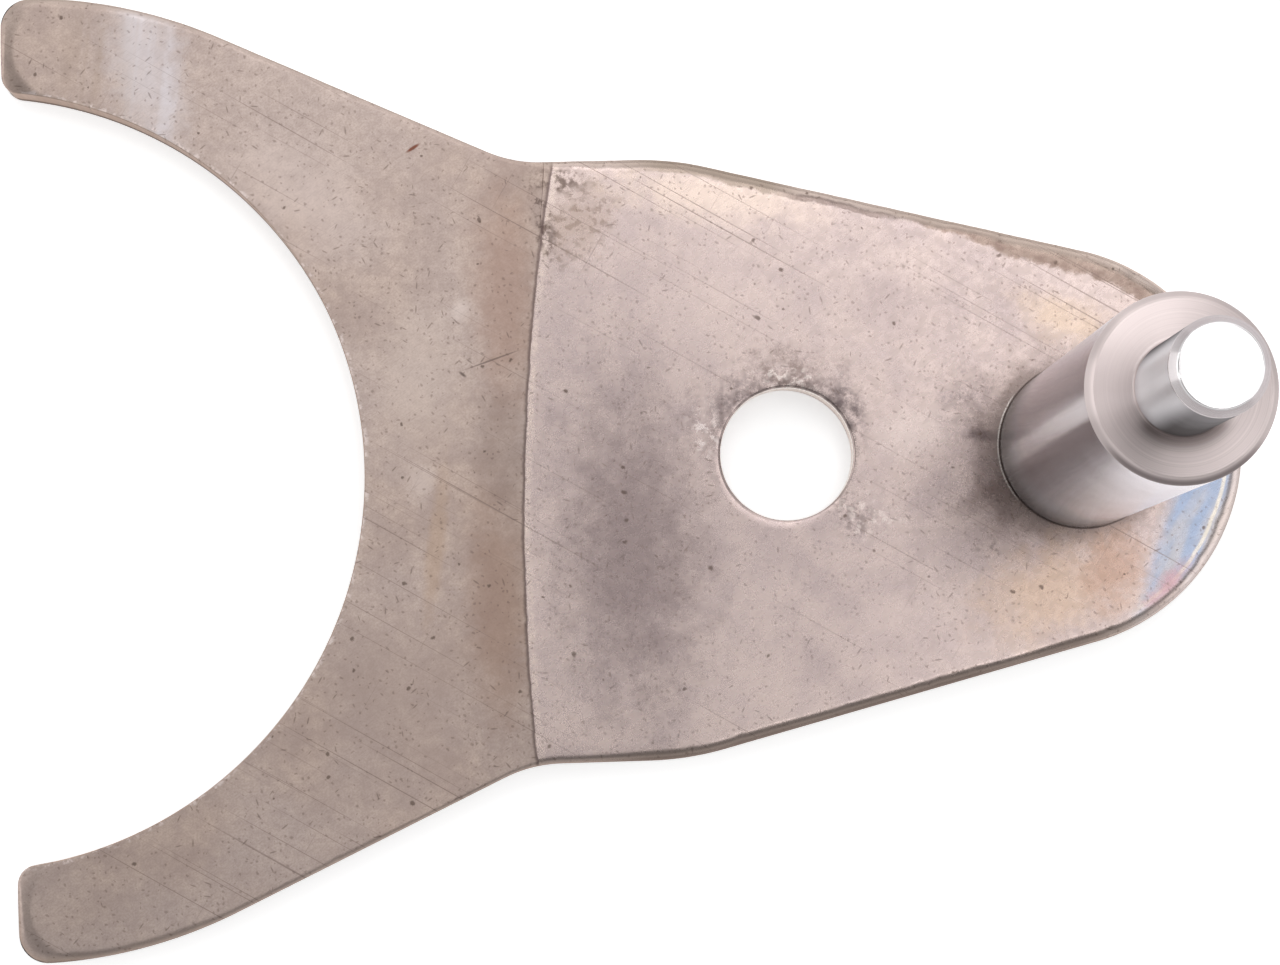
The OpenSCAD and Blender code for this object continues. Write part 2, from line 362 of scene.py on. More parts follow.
def lip_at(side):
    """Distance along the outer path where the roll's inner edge crosses the circle of the pad's end."""
    inner_edge = outer_path[:, :2] - ROLL_W * outer_path[:, 4:5] * outer_path[:, 2:4]
    beyond = np.hypot(inner_edge[:, 0] - pad_centre_x, inner_edge[:, 1] - side * PAD_END_Y) - PAD_END_R
    near = (outer_path[:, 0] < LIP_SEARCH[1]) & (outer_path[:, 0] > LIP_SEARCH[0])
    fine = np.linspace(outer_s[near].min(), outer_s[near].max(), LIP_SEARCH_STEPS)
    return float(np.interp(0, np.interp(fine, outer_s, beyond), fine))


def outline_runs(side):
    """The outline's points in four runs, from the pin end to the mouth's middle: body, fork, tip, mouth."""
    lip_s, end = lip_at(side), outer_s[-1]
    facing = [outline_at(x) for x in (FACING_PIN_X, FACING_BRIDGE_X, FACING_HOLE_X)]
    body_marks = [0] + facing + [lip_s - LIP_GAP]
    body_s = spread(body_marks, [N_PIN, N_BRIDGE, N_HOLE, N_LAND], LIP_LEAN)
    fork_marks = [0, end - outline_at(FACING_WEB_X), end - lip_s - LIP_GAP]
    fork_s = end - spread(fork_marks, [N_MOUTH, N_WEB], LIP_LEAN)[::-1]
    tip = np.hstack([straight((TIP_X, tip_out[1]), (TIP_X, tip_in[1]), N_ACROSS),
                     np.tile([-1.0, 0.0], (N_ACROSS + 1, 1)),
                     np.linspace(1, TIP_SHARE, N_ACROSS + 1)[:, None]])
    mouth = resample(inner_path, np.linspace(0, along(inner_path)[-1], N_MOUTH + 1))
    return resample(outer_path, body_s), resample(outer_path, fork_s), tip, mouth


print("lip meets the edge at", [round(lip_at(side), 2) for side in (1, -1)], "mm along the two halves")

# %% [markdown]
# ## Faces, hole and seat
# Inside the rim each face is filled with patches. The front runs in a little way under the pin, and
# the back stops at the flared tail. The hole's wall and the pin's seat are profiles turned half way
# round. Punching tears the hole a little wider towards the back, which is the breakout taper.

# %% Build the plate
FORK_EDGE, EDGE_WAVE, CALM = 0.55, 0.2, 4.0
UNDER_PIN_R = 5.0
# Distances from the edge that mark the back face, and the walls of the hole and the seat
BACK_MARK, WALL_MARK = -6, 9.0
BREAKOUT_Z, BREAKOUT_KNEE_Z, BREAKOUT_KNEE = 2.6, 1.2, 0.4
PLATE_SHARP, PIN_SHARP = 28, 35


def face_grids(edge, runs, front, side):
    """The front or back face inside the rim's edge: a body patch, a fork patch and the strip of the lip."""
    body_edge, fork_edge, tip_edge, mouth_edge = [edge[run] for run in runs]
    lip_x = pad_centre_x - math.sqrt(PAD_END_R ** 2 - PAD_END_Y ** 2)
    hole_r = HOLE_R + (HOLE_BREAK if front else BREAKOUT)
    seat_r = UNDER_PIN_R if front else TAIL_R + TAIL_FLARE
    land = spread([-hole_r, lip_x + LIP_GAP], [N_LAND], LIP_LEAN)
    web = spread([mouth_edge[-1, 0], lip_x - LIP_GAP], [N_WEB], LIP_LEAN)[::-1]
    body_low = np.vstack([half_turn(PIN_X, seat_r, N_PIN)[:-1],
                          straight((PIN_X - seat_r, 0), (hole_r, 0), N_BRIDGE)[:-1],
                          half_turn(0, hole_r, N_HOLE)[:-1], middle_line(land)])
    fork_low = np.vstack([middle_line(web)[:-1], mouth_edge[::-1, :2]])
    body_lip = bowed_lip(body_edge[-1], body_low[-1], N_ACROSS, side)
    fork_lip = bowed_lip(fork_edge[0], fork_low[0], N_ACROSS, side)
    body = coons(body_edge[:, :2], body_low, straight(body_edge[0, :2], body_low[0], N_ACROSS), body_lip)
    fork = coons(fork_edge[:, :2], fork_low, fork_lip, tip_edge[:, :2])
    body_z = np.full(body.shape[:2], THICK if front else 0.0)
    x, y = fork[..., 0], fork[..., 1]
    fork_z = fork_front(x, y, side) if front else THICK - pad_floor(x, y, side)
    body_z[:, 0] = body_edge[:, 2]
    fork_z[:, 0] = fork_edge[:, 2]
    fork_z[-1] = tip_edge[:, 2]
    fork_z[N_WEB:, -1] = mouth_edge[::-1, 2]
    body_far = np.linalg.norm(body - body[:, :1], axis=2)
    tip_far = np.linalg.norm(fork - fork[-1:], axis=2)
    mouth_far = np.linalg.norm(fork[N_WEB:] - fork[N_WEB:, -1:], axis=2)
    fork_far = np.minimum(np.linalg.norm(fork - fork[:, :1], axis=2), tip_far)
    fork_far[N_WEB:] = np.minimum(fork_far[N_WEB:], mouth_far)
    if not front:
        body_far, fork_far = BACK_MARK - body_far, BACK_MARK - fork_far
    body_grid, fork_grid = lift(body, body_z, body_far), lift(fork, fork_z, fork_far)
    return [body_grid, fork_grid, np.stack([body_grid[-1], fork_grid[0]])]


def half_plate(side):
    """Rim and faces of one half, made as the upper half; for side -1 they are mirrored at the end."""
    body, fork, tip, mouth = outline_runs(side)
    path = np.vstack([body, fork, tip[1:], mouth[1:]])
    n, fork_at, tip_at = np.arange(len(path)), len(body), len(body) + len(fork) - 1
    mouth_at = tip_at + N_ACROSS
    s = along(path)
    path[fork_at:, 4] *= FORK_EDGE
    in_mouth = np.clip((n - tip_at - 1) / N_ACROSS, 0, 1)
    calm = np.minimum(1, np.minimum(s, s[-1] - s) / CALM) * (1 - in_mouth)
    path[:, 4] *= 1 + uneven(s, EDGE_WAVE) * calm
    rim = rim_grid(path, n >= fork_at, nicks(s) * calm, side)
    runs = slice(0, fork_at), slice(fork_at, tip_at + 1), slice(tip_at, mouth_at + 1), slice(mouth_at, None)
    grids = [rim] + face_grids(rim[:, -1], runs, True, side) + face_grids(rim[:, 0], runs, False, side)
    return [g * np.array([1, side, 1, 1]) for g in grids]


def half_wall(cx, profile, n, side):
    """A profile of radius and height turned half a turn about a vertical axis at (cx, 0)."""
    a = np.linspace(0, math.pi, n + 1)[:, None]
    r, z = profile.T
    wall = np.dstack([cx + r * np.cos(a), side * r * np.sin(a)])
    return lift(wall, z, WALL_MARK)


turn = np.linspace(0, 0.5, 6) * math.pi
hole_wall = np.vstack([
    np.stack([HOLE_R + HOLE_BREAK * (1 - np.sin(turn)), THICK - HOLE_BREAK * (1 - np.cos(turn))], 1),
    [[HOLE_R, BREAKOUT_Z], [HOLE_R + BREAKOUT_KNEE * BREAKOUT, BREAKOUT_KNEE_Z], [HOLE_R + BREAKOUT, 0]]])
seat_wall = np.array([[UNDER_PIN_R, THICK], [TAIL_R, THICK], [TAIL_R, TAIL_FLARE], [TAIL_R + TAIL_FLARE, 0]])
grids = []
for side in (1, -1):
    grids += half_plate(side)
    grids += [half_wall(0, hole_wall, N_HOLE, side), half_wall(PIN_X, seat_wall, N_PIN, side)]
plate = make_piece("ground_fork_plate", *weld(grids), PLATE_SHARP)
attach(plate, "root")
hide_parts("fork_plate")

# %% [markdown]
# ## The guide pin
# A turned and ground pin: its whole form is one profile spun about the axis. Real edges are never
# quite sharp, so each corner of the profile gets a tiny round that catches the light.

# %% Build the guide pin
PIN_STEPS = 224
NO_ROUND, FOOT_ROUND, EDGE_ROUND, INNER_ROUND, TOP_ROUND = 0.001, 0.06, 0.10, 0.25, 0.12


def rounded_profile(corners, radii, n=6):
    """Replaces each inner corner of a chain of lines by an arc of its radius, worked out as a
    quadratic curve between the two points one tangent length before and after the corner."""
    c = np.array(corners, float)
    before, after = c[:-2] - c[1:-1], c[2:] - c[1:-1]
    lb, la = np.hypot(*before.T), np.hypot(*after.T)
    half = 0.5 * np.arccos(np.clip((before * after).sum(1) / (lb * la), -1, 1))
    reach = np.minimum(np.array(radii) / np.tan(half), 0.45 * np.minimum(lb, la))[:, None]
    p0, p2 = c[1:-1] + before / lb[:, None] * reach, c[1:-1] + after / la[:, None] * reach
    t = np.linspace(0, 1, n)[None, :, None]
    curve = (1 - t) ** 2 * p0[:, None] + 2 * t * (1 - t) * c[1:-1, None] + t ** 2 * p2[:, None]
    return np.vstack([c[:1], curve.reshape(-1, 2), c[-1:]])


def spun(cx, profile, n):
    """A profile of radius and height carried round a full circle about (cx, 0)."""
    a = np.linspace(0, 2 * math.pi, n + 1)[:, None]
    r, z = profile.T
    ring = lift(np.dstack([cx + r * np.cos(a), r * np.sin(a)]), z, 0.0)
    ring[-1] = ring[0]
    return ring


shoulder_z = THICK + PIN_LENGTH
spigot_z = shoulder_z + SPIGOT_LENGTH
pin_corners = [
    (0, 0), (TAIL_R + TAIL_FLARE, 0), (TAIL_R, TAIL_FLARE), (TAIL_R, THICK), (PIN_R - SEAT_BREAK, THICK),
    (PIN_R, THICK + SEAT_BREAK), (PIN_R, shoulder_z - PIN_CHAMFER), (PIN_R - PIN_CHAMFER, shoulder_z),
    (SPIGOT_R, shoulder_z), (SPIGOT_R, spigot_z - SPIGOT_CHAMFER), (SPIGOT_R - SPIGOT_CHAMFER, spigot_z),
    (0, spigot_z)]
pin_rounds = [NO_ROUND] * 4 + [FOOT_ROUND, EDGE_ROUND, EDGE_ROUND, INNER_ROUND, EDGE_ROUND, TOP_ROUND]
pin_profile = rounded_profile(pin_corners, pin_rounds)
pin = make_piece("turned_guide_pin", *weld([spun(PIN_X, pin_profile, PIN_STEPS)]), PIN_SHARP)
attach(pin, "root")
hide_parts("guide_pin")

# %% [markdown]
# ## Tools for the finishes
# Steel is never one colour: it is mottled, scratched, specked and stained. Each of these effects is
# a small shader group with named sockets, so the plate and the pin can share it with other values.
# Patterns read Object coordinates, turned into millimetres, and so they stay put on the steel.

# %% Helpers for nodes
def screen(r, g, b):
    """A colour as seen on a screen (0 to 255), turned into the linear light that shaders use."""
    c = np.array([r, g, b]) / 255
    return (*np.where(c <= 0.04045, c / 12.92, ((c + 0.055) / 1.055) ** 2.4).tolist(), 1.0)


class Nodes:
    """A node tree, with short words for the nodes that are used most, and the colour painted so far."""

    def __init__(self, tree):
        self.tree = tree
        self.colour = None

    def plug(self, socket, value):
        """Links another node's output into a socket, or sets the socket's own value."""
        if isinstance(value, bpy.types.NodeSocket):
            self.tree.links.new(value, socket)
        else:
            socket.default_value = value

    def put(self, kind, inputs=None, **settings):
        """Places a node, with its settings and its inputs by name or number."""
        node = self.tree.nodes.new("ShaderNode" + kind)
        for key, value in settings.items():
            setattr(node, key, value)
        for key, value in (inputs or {}).items():
            self.plug(node.inputs[key], value)
        return node.outputs

    def use(self, name, **values):
        """Places a group and sets its inputs by label."""
        node = self.tree.nodes.new("ShaderNodeGroup")
        node.node_tree = bpy.data.node_groups[name]
        for label, value in values.items():
            self.plug(node.inputs[label], value)
        return node.outputs[0]

    def noise(self, place, scale, detail, roughness=0.5):
        """Cloudy noise as a value about 0.5."""
        inputs = {"Vector": place, "Scale": scale, "Detail": detail, "Roughness": roughness}
        return self.put("TexNoise", inputs)[0]

    def calc(self, way, *values):
        """One step of arithmetic."""
        return self.put("Math", dict(enumerate(values)), operation=way)[0]

    def times(self, *values):
        """The product of several values."""
        product = values[-1]
        for value in values[-2::-1]:
            product = self.calc("MULTIPLY", value, product)
        return product

    def plus(self, a, b):
        """The sum of two values."""
        return self.calc("ADD", a, b)

    def minus(self, a, b):
        """The first value less the second."""
        return self.calc("SUBTRACT", a, b)

    def over(self, a, b):
        """The first value divided by the second."""
        return self.calc("DIVIDE", a, b)

    def vector(self, way, *vectors):
        """One step of vector arithmetic, which gives a vector or, for a length or product, a value."""
        out = self.put("VectorMath", dict(enumerate(vectors)), operation=way)
        return out["Value"] if way in ("DOT_PRODUCT", "DISTANCE", "LENGTH") else out["Vector"]

    def ramp(self, value, start, end, low=0.0, high=1.0):
        """A smooth step of a value: low at start, high at end."""
        inputs = {"Value": value, "From Min": start, "From Max": end, "To Min": low, "To Max": high}
        return self.put("MapRange", inputs, interpolation_type="SMOOTHSTEP")[0]

    def tint(self, base, colour, mask):
        """Lays one colour over another by a mask; a colour is a node's output or three screen numbers."""
        pair = [c if isinstance(c, bpy.types.NodeSocket) else screen(*c) for c in (base, colour)]
        return self.put("Mix", {0: mask, 6: pair[0], 7: pair[1]}, data_type="RGBA")[2]

    def paint(self, colour, *masks):
        """Lays a colour over the colour so far, by the product of its masks."""
        self.colour = self.tint(self.colour, colour, self.times(*masks))


def new_group(name, **inputs):
    """An empty shader group that gives one mask: its nodes, its inputs as seen from inside and the
    mask's socket. An input is a value when it starts as a number, and a vector otherwise."""
    tree = bpy.data.node_groups.new(name, "ShaderNodeTree")
    for label, start in inputs.items():
        kind = "NodeSocketFloat" if isinstance(start, float) else "NodeSocketVector"
        tree.interface.new_socket(label, in_out="INPUT", socket_type=kind).default_value = start
    tree.interface.new_socket("Mask", in_out="OUTPUT", socket_type="NodeSocketFloat")
    given = tree.nodes.new("NodeGroupInput").outputs
    return Nodes(tree), given, tree.nodes.new("NodeGroupOutput").inputs["Mask"]


def new_material(name):
    """A new material, its nodes and the inputs of its shader."""
    material = bpy.data.materials.new(name)
    material.use_nodes = True
    return material, Nodes(material.node_tree), material.node_tree.nodes["Principled BSDF"].inputs


ORIGIN = (0.0, 0.0, 0.0)
print("a mid grey on the screen is", round(screen(128, 128, 128)[0], 3), "in light")

# %% [markdown]
# ## Mottle
# Oil, dirt and uneven wear leave soft clouds on steel. Noise of a given size, cut between a low and
# a high value, gives clouds that are faint when the two lie far apart and crisp when they lie close.

# %% Group: mottle
nodes, given, mask = new_group("mottle", Place=ORIGIN, Size=5.0, Detail=4.0, Low=0.35, High=0.65)
cloud = nodes.noise(given["Place"], nodes.over(1.0, given["Size"]), given["Detail"], 0.6)
nodes.plug(mask, nodes.ramp(cloud, given["Low"], given["High"]))
print("mottle:", len(nodes.tree.nodes), "nodes")

# %% [markdown]
# ## Scratches
# A scratch is long in one direction and thin in the other, and so is noise that is read with a long
# step along the scratch and a very short one across it.

# %% Group: scratches
def slant(turn_deg, long, wide, x=0.0, y=0.0):
    """Two directions, at a turn and square to it, each divided by its length. The third number brings
    (x, y) to nought, so a dot product with (x, y, 1) counts how many lengths a point lies from there."""
    t = math.radians(turn_deg)
    rows = np.array([[math.cos(t), math.sin(t)], [-math.sin(t), math.cos(t)]]) / [[long], [wide]]
    along_row, across_row = [(*row.tolist(), -float(row @ [x, y])) for row in rows]
    return {"Along": along_row, "Across": across_row}


nodes, given, mask = new_group("scratches", Place=ORIGIN, Along=ORIGIN, Across=ORIGIN, Low=0.6, High=0.7)
u = nodes.vector("DOT_PRODUCT", given["Place"], given["Along"])
v = nodes.vector("DOT_PRODUCT", given["Place"], given["Across"])
line = nodes.noise(nodes.put("CombineXYZ", {0: u, 1: v})[0], 1.0, 1.5)
nodes.plug(mask, nodes.ramp(line, given["Low"], given["High"]))
print("scratches:", len(nodes.tree.nodes), "nodes")

# %% [markdown]
# ## Specks
# Pits, grit and short strokes lie scattered. The plane is divided into random cells; each cell has
# its own chance to hold a speck, and the speck its own size and direction.

# %% Group: specks
nodes, given, mask = new_group("specks", Place=ORIGIN, Spacing=1.0, Reach=0.2, Long=1.0, Share=0.5)
cells = nodes.put("TexVoronoi", {"Vector": given["Place"], "Scale": nodes.over(1.0, given["Spacing"])},
                  voronoi_dimensions="2D")
luck = nodes.put("SeparateColor", {0: cells["Color"]})
off = nodes.vector("SUBTRACT", given["Place"], cells["Position"])
turned = nodes.put("VectorRotate", {"Vector": off, "Angle": nodes.times(luck[2], 2 * math.pi)},
                   rotation_type="Z_AXIS")[0]
squeezed = nodes.vector("DIVIDE", turned, nodes.put("CombineXYZ", {0: given["Long"], 1: 1.0, 2: 1.0})[0])
reach = nodes.times(given["Reach"], nodes.ramp(luck[1], 0.0, 1.0, 0.4, 1.0))
near = nodes.ramp(nodes.vector("LENGTH", squeezed), reach, nodes.times(reach, 0.4))
nodes.plug(mask, nodes.times(near, nodes.calc("LESS_THAN", luck[0], given["Share"])))
print("specks:", len(nodes.tree.nodes), "nodes")

# %% [markdown]
# ## Soft patch
# A stain, a polished spot or a heat tint sits in one place and fades out at a ragged border. It is
# an oval whose distance from the middle is torn by noise before it is cut.

# %% Group: soft patch
nodes, given, mask = new_group("soft_patch", Place=ORIGIN, Along=ORIGIN, Across=ORIGIN, Soft=0.6, Tear=0.0,
                               Rag=0.0, Strength=1.0)
u = nodes.vector("DOT_PRODUCT", given["Place"], given["Along"])
v = nodes.vector("DOT_PRODUCT", given["Place"], given["Across"])
far = nodes.vector("LENGTH", nodes.put("CombineXYZ", {0: u, 1: v})[0])
far = nodes.calc("MULTIPLY_ADD", given["Tear"], given["Rag"], far)
nodes.plug(mask, nodes.ramp(far, 1.0, nodes.minus(1.0, given["Soft"]), 0.0, given["Strength"]))
print("soft patch:", len(nodes.tree.nodes), "nodes")

# %% [markdown]
# ## Plate steel: where things are
# Most marks know their place on the plate: on the ground fork or on the body, so far from the edge,
# so high up the wall. These coordinates in millimetres come first, and the circle of the pad's end
# parts the fork from the body.

# %% Plate steel: places
steel, nodes, shader = new_material("plate_ground_steel")
spot = nodes.vector("MULTIPLY", nodes.put("TexCoord")["Object"], (1000.0, 1000.0, 1000.0))
flat = nodes.vector("MULTIPLY", spot, (1.0, 1.0, 0.0))
sheet = nodes.vector("ADD", flat, (0.0, 0.0, 1.0))
along_x, along_y, height = nodes.put("SeparateXYZ", {0: spot})
edge = nodes.put("Attribute", attribute_name="from_edge")["Fac"]
past_lip = nodes.minus(nodes.vector("DISTANCE", flat, (pad_centre_x, PAD_END_Y, 0.0)), PAD_END_R)
from_pin = nodes.vector("DISTANCE", flat, (PIN_X, 0.0, 0.0))
from_mouth = nodes.minus(nodes.vector("DISTANCE", flat, (MOUTH_X, 0.0, 0.0)), MOUTH_R)
from_hole = nodes.vector("LENGTH", flat)
on_fork = nodes.ramp(past_lip, -0.06, 0.06)
on_body = nodes.minus(1.0, on_fork)
print("plate steel, places:", len(nodes.tree.nodes), "nodes")

# %% [markdown]
# ## Plate steel: grain
# Clouds of several sizes, from a wide change of tone down to a grain that is only just seen. Scratches
# run mostly one way, as from handling along the fork. Specks and short strokes lie between them.

# %% Plate steel: clouds, scratches and specks
ragged = nodes.minus(nodes.noise(flat, 0.55, 5.0, 0.72), 0.5)
torn = nodes.vector("MULTIPLY_ADD", ragged, (0.9, -0.6, 0.0), flat)
wander = nodes.put("TexNoise", {"Vector": flat, "Scale": 0.09, "Detail": 0.0})[1]
bent = nodes.vector("ADD", flat, nodes.vector("MULTIPLY", wander, (3.0, 3.0, 0.0)))
broken = nodes.ramp(nodes.noise(flat, 0.9, 5.0, 0.78), 0.36, 0.64)
wide = nodes.use("mottle", Place=flat, Size=15.0, Detail=2.0, Low=0.35, High=0.65)
medium = nodes.use("mottle", Place=flat, Size=3.0, Detail=4.0, Low=0.36, High=0.64)
clots = nodes.use("mottle", Place=flat, Size=0.6, Detail=3.0, Low=0.5, High=0.6)
crisp = nodes.use("mottle", Place=flat, Size=0.7, Detail=5.0, Low=0.44, High=0.56)
soft = nodes.use("mottle", Place=flat, Size=0.7, Detail=2.0, Low=0.3, High=0.7)
fine = nodes.use("mottle", Place=spot, Size=0.15, Detail=1.0, Low=0.32, High=0.7)
hair = nodes.use("scratches", Place=flat, **slant(-31, 34.0, 0.16), Low=0.665, High=0.73)
hair_across = nodes.use("scratches", Place=flat, **slant(58, 9.0, 0.15), Low=0.72, High=0.78)
brush_across = nodes.use("scratches", Place=flat, **slant(35, 0.9, 0.08), Low=0.54, High=0.72)
stripes = nodes.use("scratches", Place=flat, **slant(82, 40.0, 0.9), Low=0.36, High=0.64)
dots = nodes.use("specks", Place=torn, Spacing=0.42, Reach=0.11, Long=1.5, Share=0.3)
strokes = nodes.use("specks", Place=flat, Spacing=0.95, Reach=0.08, Long=5.0, Share=0.16)
pits = nodes.use("specks", Place=torn, Spacing=2.0, Reach=0.2, Long=1.3, Share=0.12)
print("plate steel, with grain:", len(nodes.tree.nodes), "nodes")

# %% [markdown]
# ## Plate steel: base colours
# The ground fork is a warm tan grey, the body a lighter, pinker silver. The fork was ground and is
# rougher; the body still has the smoother skin of rolled sheet.

# %% Plate steel: fork and body
body_colour = nodes.tint((196, 179, 175), (180, 164, 162), wide)
body_colour = nodes.tint(body_colour, (206, 188, 181), nodes.times(medium, 0.5))
fork_colour = nodes.tint((191, 172, 161), (173, 155, 147), medium)
fork_colour = nodes.tint(fork_colour, (194, 179, 173), nodes.times(wide, 0.6))
nodes.colour = nodes.tint(body_colour, fork_colour, on_fork)
nodes.paint((146, 129, 121), fine, nodes.ramp(on_fork, 0.0, 1.0, 0.06, 0.3))
nodes.paint((152, 135, 128), soft, nodes.ramp(on_fork, 0.0, 1.0, 0.13, 0.28))
rough = nodes.plus(nodes.ramp(soft, 0.0, 1.0, 0.25, 0.29), nodes.times(on_fork, 0.13))
print("plate steel, with base colours:", len(nodes.tree.nodes), "nodes")

# %% [markdown]
# ## Plate steel: marks with their own place
# The collar polished a band on the upper tine. Grime sits round the hole and along the lip, and the
# pin was joined with heat, so straw and brown run out from its foot. Some patches are painted light:
# painted shade round the pin's foot, on the left of the body and on the lower fork, and painted
# highlights on the upper fork, the upper body and the bridge. Each mark is a soft patch, placed in
# millimetres on the front of the plate and kept to where its last word says.

# %% Plate steel: stains, polished spots and tints
POLISH = 0.06
where_masks = {
    "fork": on_fork, "body": on_body, "pits": pits, "clots": clots, "crisp": crisp, "broken": broken,
    "polished": nodes.times(on_fork, nodes.ramp(stripes, 0.0, 1.0, 0.55, 1.0)),
    "striped": nodes.times(on_fork, stripes),
    "body clots": nodes.times(on_body, clots),
    "body broken": nodes.times(on_body, broken)}
plate_marks = [
    # name, centre x and y, half length, half width, turn, soft, ragged, colour, strength, where
    ("polished_band", -45.7, 29.9, 3.9, 10.5, 8, 0.95, 0.5, (206, 201, 206), 0.95, "polished"),
    ("faint_stripes", -48.6, 30.0, 5.5, 7.0, 8, 0.8, 0.4, (160, 141, 126), 0.4, "striped"),
    ("rust_sliver", -26.45, 23.15, 0.75, 0.17, 32, 0.6, 0.1, (112, 58, 40), 0.9, "fork"),
    ("pale_blotch", -23.4, 11.2, 1.6, 1.1, 20, 0.9, 0.9, (212, 198, 192), 0.5, "fork"),
    ("pale_blotch_low", -26.6, -1.1, 1.4, 2.2, 0, 0.9, 0.9, (206, 191, 184), 0.45, "fork"),
    ("run_out_upper", -20.0, 12.5, 3.6, 12.0, 0, 0.85, 0.4, (158, 126, 110), 0.5, "fork"),
    ("run_out_lower", -21.2, -10.5, 3.4, 13.0, 2, 0.85, 0.4, (150, 122, 106), 0.55, "fork"),
    ("run_out_smear", -20.6, 0.8, 2.6, 5.5, 0, 0.6, 0.5, (140, 122, 114), 0.4, "fork"),
    ("web_pale", -26.5, 6.0, 4.5, 9.0, 0, 0.9, 0.5, (200, 184, 174), 0.35, "fork"),
    # painted highlight: the upper fork made lighter
    ("fork_upper_painted_highlight", -34.8, 19.6, 9.0, 6.0, -35, 0.95, 0.5, (210, 194, 188), 0.4, "fork"),
    # painted shade: the lower fork made darker
    ("fork_low_painted_shade", -29.5, -17.0, 9.0, 10.0, 0, 0.9, 0.6, (156, 138, 130), 0.45, "fork"),
    ("bent_scratch", -21.1, 7.5, 2.7, 0.09, 18, 0.6, 0.05, (108, 92, 86), 0.7, "fork"),
    ("scratch_hook", -23.3, 6.5, 0.45, 0.16, -38, 0.7, 0.2, (84, 70, 66), 0.8, "fork"),
    ("lip_chips", -19.1, 10.8, 0.8, 3.2, -12, 0.8, 1.0, (226, 214, 208), 0.8, "pits"),
    ("tan_trace", -25.6, -6.0, 0.9, 8.0, -8, 0.7, 0.5, (172, 146, 122), 0.4, "fork"),
    ("lip_grime_upper", -14.6, 17.2, 6.0, 3.6, 50, 0.9, 0.8, (108, 90, 80), 0.6, "body clots"),
    ("lip_shade_upper", -14.8, 17.4, 5.0, 3.2, 50, 0.9, 0.9, (160, 140, 128), 0.5, "body"),
    ("lip_dirt", -17.2, 17.6, 0.9, 5.0, 6, 0.8, 1.2, (92, 74, 68), 0.8, "clots"),
    ("lip_clot", -15.8, 20.4, 2.6, 1.3, -10, 0.8, 1.0, (92, 76, 68), 0.8, "crisp"),
    ("lip_clot_low", -16.9, 16.4, 0.9, 1.8, 0, 0.8, 1.0, (84, 68, 62), 0.8, "crisp"),
    # painted shade: the left and lower left of the body made darker
    ("body_left_painted_shade", -11.5, -6.0, 8.4, 17.5, 0, 0.9, 0.6, (141, 126, 125), 0.9, "body"),
    # painted highlight: a light band along the body's upper edge
    ("upper_painted_highlight", -4.5, 18.9, 11.0, 2.6, -9, 0.9, 0.7, (226, 206, 192), 0.6, "body"),
    # painted highlight: the bridge between hole and pin made lighter
    ("bridge_painted_highlight", 9.4, 1.4, 4.4, 2.6, 12, 0.8, 0.6, (216, 200, 194), 0.45, "body"),
    # a darker patch on the upper body
    ("upper_darker", 8.4, 10.6, 6.5, 3.6, -14, 0.95, 0.6, (168, 152, 150), 0.45, "body"),
    ("hole_shade", -0.2, 2.6, 8.6, 6.8, 0, 0.7, 0.7, (128, 114, 113), 0.6, "body broken"),
    ("hole_grime_top", 0.2, 5.9, 4.4, 2.8, -8, 0.9, 0.7, (128, 110, 102), 0.55, "broken"),
    ("hole_grime_right", 4.2, 3.2, 2.4, 2.6, 30, 0.8, 0.8, (82, 72, 75), 0.65, "broken"),
    ("hole_grime_left", -3.8, 3.9, 3.4, 1.9, 40, 0.8, 0.8, (98, 87, 89), 0.6, "broken"),
    ("hole_grime_lower", 4.4, -4.4, 3.4, 2.0, -40, 0.8, 1.0, (112, 99, 98), 0.55, "crisp"),
    ("hole_scuff_upper", 0.6, 5.5, 3.8, 1.2, -6, 0.7, 0.9, (226, 214, 208), 0.6, "clots"),
    ("hole_scuff_left", -5.9, 2.0, 1.6, 3.0, 0, 0.8, 0.9, (226, 214, 210), 0.6, "clots"),
    ("hole_scuff_lower", 5.4, -4.6, 3.4, 2.4, -20, 0.8, 1.0, (226, 212, 206), 0.5, "clots"),
    ("foot_stain", 13.2, 3.4, 3.4, 4.0, 20, 0.9, 1.0, (112, 100, 101), 0.5, "broken"),
    # painted shade: a ring of darkening round the pin's foot
    ("foot_ring_painted_shade", PIN_X, 0.0, 10.0, 10.0, 0, 0.42, 0.5, (132, 116, 110), 0.35, "body"),
    # painted shade: the plate darkened close round the pin's foot
    ("foot_painted_shade", 20.6, -0.6, 7.6, 7.4, 0, 0.2, 0.2, (100, 86, 81), 0.45, "body"),
    ("foot_dark", 14.2, 0.9, 2.4, 0.7, -8, 0.9, 0.6, (84, 72, 72), 0.7, "body"),
    ("foot_lump", 14.6, -7.3, 1.3, 1.1, 0, 0.7, 1.0, (108, 96, 96), 0.6, "clots"),
    ("foot_shade", 14.4, -3.5, 3.6, 1.8, 26, 0.9, 0.5, (96, 80, 76), 0.45, "body"),
    ("foot_shade_low", 15.4, -6.0, 4.6, 3.0, -45, 0.95, 0.6, (130, 114, 110), 0.38, "body"),
    ("straw_upper", 20.5, 9.3, 6.0, 2.4, -24, 0.95, 0.6, (206, 182, 158), 0.55, "body"),
    ("straw_lower", 19.0, -10.5, 9.0, 5.0, 18, 0.95, 0.6, (202, 174, 150), 0.6, "body"),
    ("brown_tint", 23.4, -8.9, 4.4, 3.4, 70, 0.85, 0.6, (172, 142, 127), 0.75, "body"),
]
front_tear = nodes.plus(ragged, nodes.ramp(height, 1.2, 0.6, 0.0, 20.0))
